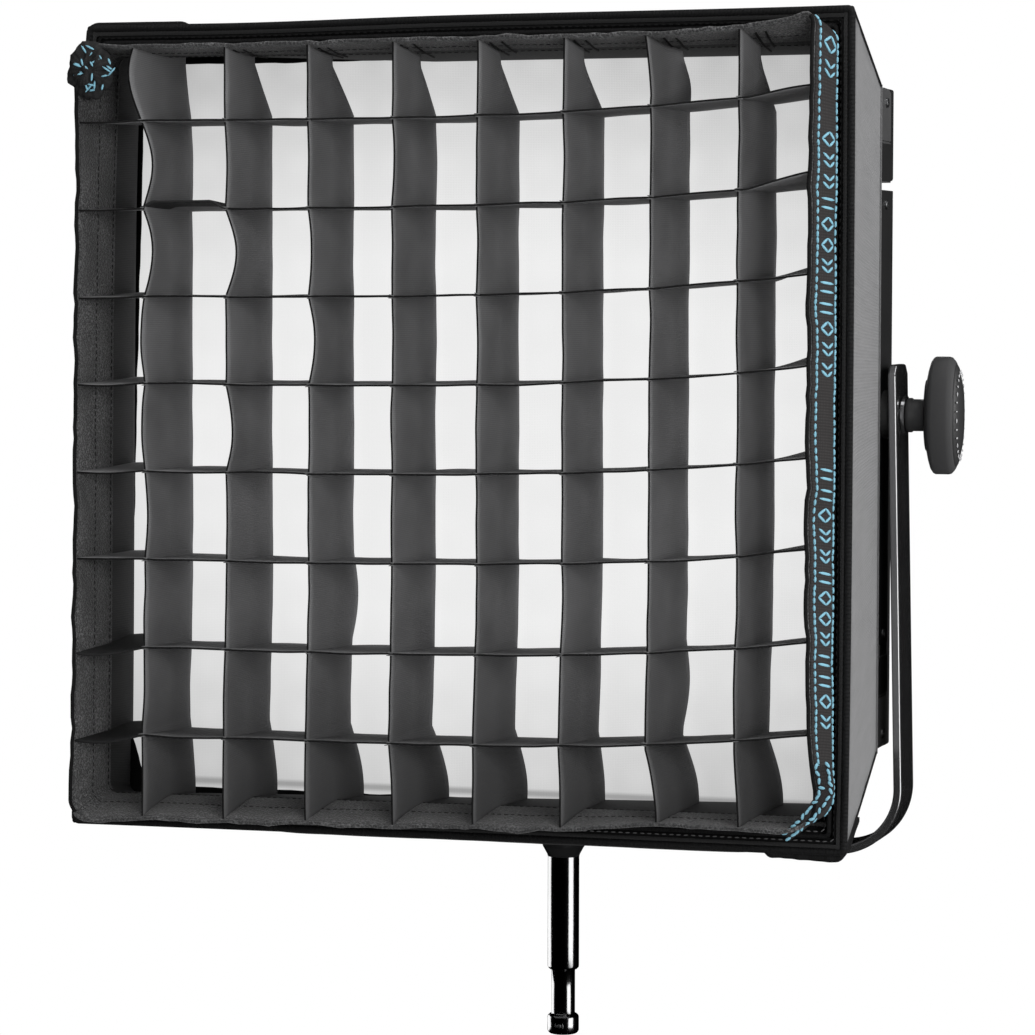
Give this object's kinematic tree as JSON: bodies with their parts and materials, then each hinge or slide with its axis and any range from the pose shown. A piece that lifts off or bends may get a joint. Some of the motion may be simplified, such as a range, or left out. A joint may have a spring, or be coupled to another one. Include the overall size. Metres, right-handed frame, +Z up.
{
  "type": "studio softbox",
  "caption": "Square LED softbox head with cloth walls, diffuser and egg-crate grid, tilting in a flat-bar yoke on a lighting stud.",
  "frame": {"origin": "middle of the flat lower end of the stand stud", "axes": "+Z up along the stud, -Y the way the light leaves, +X to the right seen from the front"},
  "size_m": [0.4076, 0.2495, 0.5068],
  "materials": {
    "yoke_metal": "satin black powder coat, edges catching light",
    "stud_metal": "gloss black oxide",
    "fastener_steel": "satin",
    "frame_metal": "black anodised",
    "frame_plastic": "fine moulded texture",
    "plate_aluminium": "satin",
    "led_board": "matt",
    "wall_cloth": "grey woven cloth outside",
    "trim_cloth": "black webbing and piping",
    "loop_band": "brushed loop band with two blue woven lines",
    "diffuser_cloth": "white translucent cloth",
    "grid_cloth": "dark grey nylon",
    "bush_rubber": "matt",
    "knob_plastic": "soft matt grip"
  },
  "bodies": {
    "yoke": {"yoke_bar": "yoke_metal", "stand_stud": "stud_metal", "stud_cross_pin": "fastener_steel", "stud_bolt": "fastener_steel", "stud_washer": "fastener_steel"},
    "head": {"frame_rail_right": "frame_metal", "frame_rail_top": "frame_metal", "frame_rail_left": "frame_metal", "frame_rail_bottom": "frame_metal", "frame_corner_top_right": "frame_plastic", "frame_corner_top_left": "frame_plastic", "frame_corner_bottom_right": "frame_plastic", "frame_corner_bottom_left": "frame_plastic", "heat_spreader": "plate_aluminium", "pivot_block_right": "plate_aluminium", "pivot_block_left": "plate_aluminium", "led_mat": "led_board", "back_cover": "frame_plastic", "junction_box": "frame_plastic", "power_socket": "fastener_steel", "softbox_wall_right": "wall_cloth", "softbox_wall_top": "wall_cloth", "softbox_wall_left": "wall_cloth", "softbox_wall_bottom": "wall_cloth", "front_rod_hem_right": "trim_cloth", "front_rod_hem_top": "trim_cloth", "front_rod_hem_left": "trim_cloth", "front_rod_hem_bottom": "trim_cloth", "grid_band_right": "loop_band", "grid_band_top": "loop_band", "grid_band_left": "loop_band", "grid_band_bottom": "loop_band", "diffuser_sheet": "diffuser_cloth", "top_corner_flap": "trim_cloth", "bottom_corner_tab": "trim_cloth", "bottom_overlap_layer": "wall_cloth", "grid_slat_upright_1": "grid_cloth", "grid_slat_upright_2": "grid_cloth", "grid_slat_upright_3": "grid_cloth", "grid_slat_upright_4": "grid_cloth", "grid_slat_upright_5": "grid_cloth", "grid_slat_upright_6": "grid_cloth", "grid_slat_upright_7": "grid_cloth", "grid_slat_upright_8": "grid_cloth", "grid_slat_level_1": "grid_cloth", "grid_slat_level_2": "grid_cloth", "grid_slat_level_3": "grid_cloth", "grid_slat_level_4": "grid_cloth", "grid_slat_level_5": "grid_cloth", "grid_slat_level_6": "grid_cloth", "grid_slat_level_7": "grid_cloth", "grid_slat_level_8": "grid_cloth", "pivot_bush_right": "bush_rubber", "pivot_bush_left": "bush_rubber"},
    "right_clamp_washer": {"knob_washer_right": "fastener_steel"},
    "left_clamp_washer": {"knob_washer_left": "fastener_steel"},
    "right_tilt_knob": {"tilt_knob_right": "knob_plastic", "knob_screw_right": "fastener_steel"},
    "left_tilt_knob": {"tilt_knob_left": "knob_plastic", "knob_screw_left": "fastener_steel"}
  },
  "joints": [
    {"name": "head_tilt", "type": "hinge", "parent": "yoke", "child": "head", "pos_m": [0, 0, 0.3175], "axis": [-1, 0, 0], "range_deg": [-16, 90]},
    {"name": "right_clamp_slide", "type": "slide", "parent": "yoke", "child": "right_clamp_washer", "axis": [1, 0, 0], "range_m": [0, 0.00156]},
    {"name": "right_knob_turn", "type": "hinge", "parent": "right_clamp_washer", "child": "right_tilt_knob", "pos_m": [0.18, 0, 0.3175], "axis": [1, 0, 0], "range_deg": [0, 455]},
    {"name": "left_clamp_slide", "type": "slide", "parent": "yoke", "child": "left_clamp_washer", "axis": [-1, 0, 0], "range_m": [0, 0.00156]},
    {"name": "left_knob_turn", "type": "hinge", "parent": "left_clamp_washer", "child": "left_tilt_knob", "pos_m": [-0.18, 0, 0.3175], "axis": [-1, 0, 0], "range_deg": [0, 455]}
  ],
  "couplings": [
    {"joint": "right_knob_turn", "follows": "right_clamp_slide", "rad_per_m": 5026.5},
    {"joint": "left_knob_turn", "follows": "left_clamp_slide", "rad_per_m": 5026.5}
  ]
}
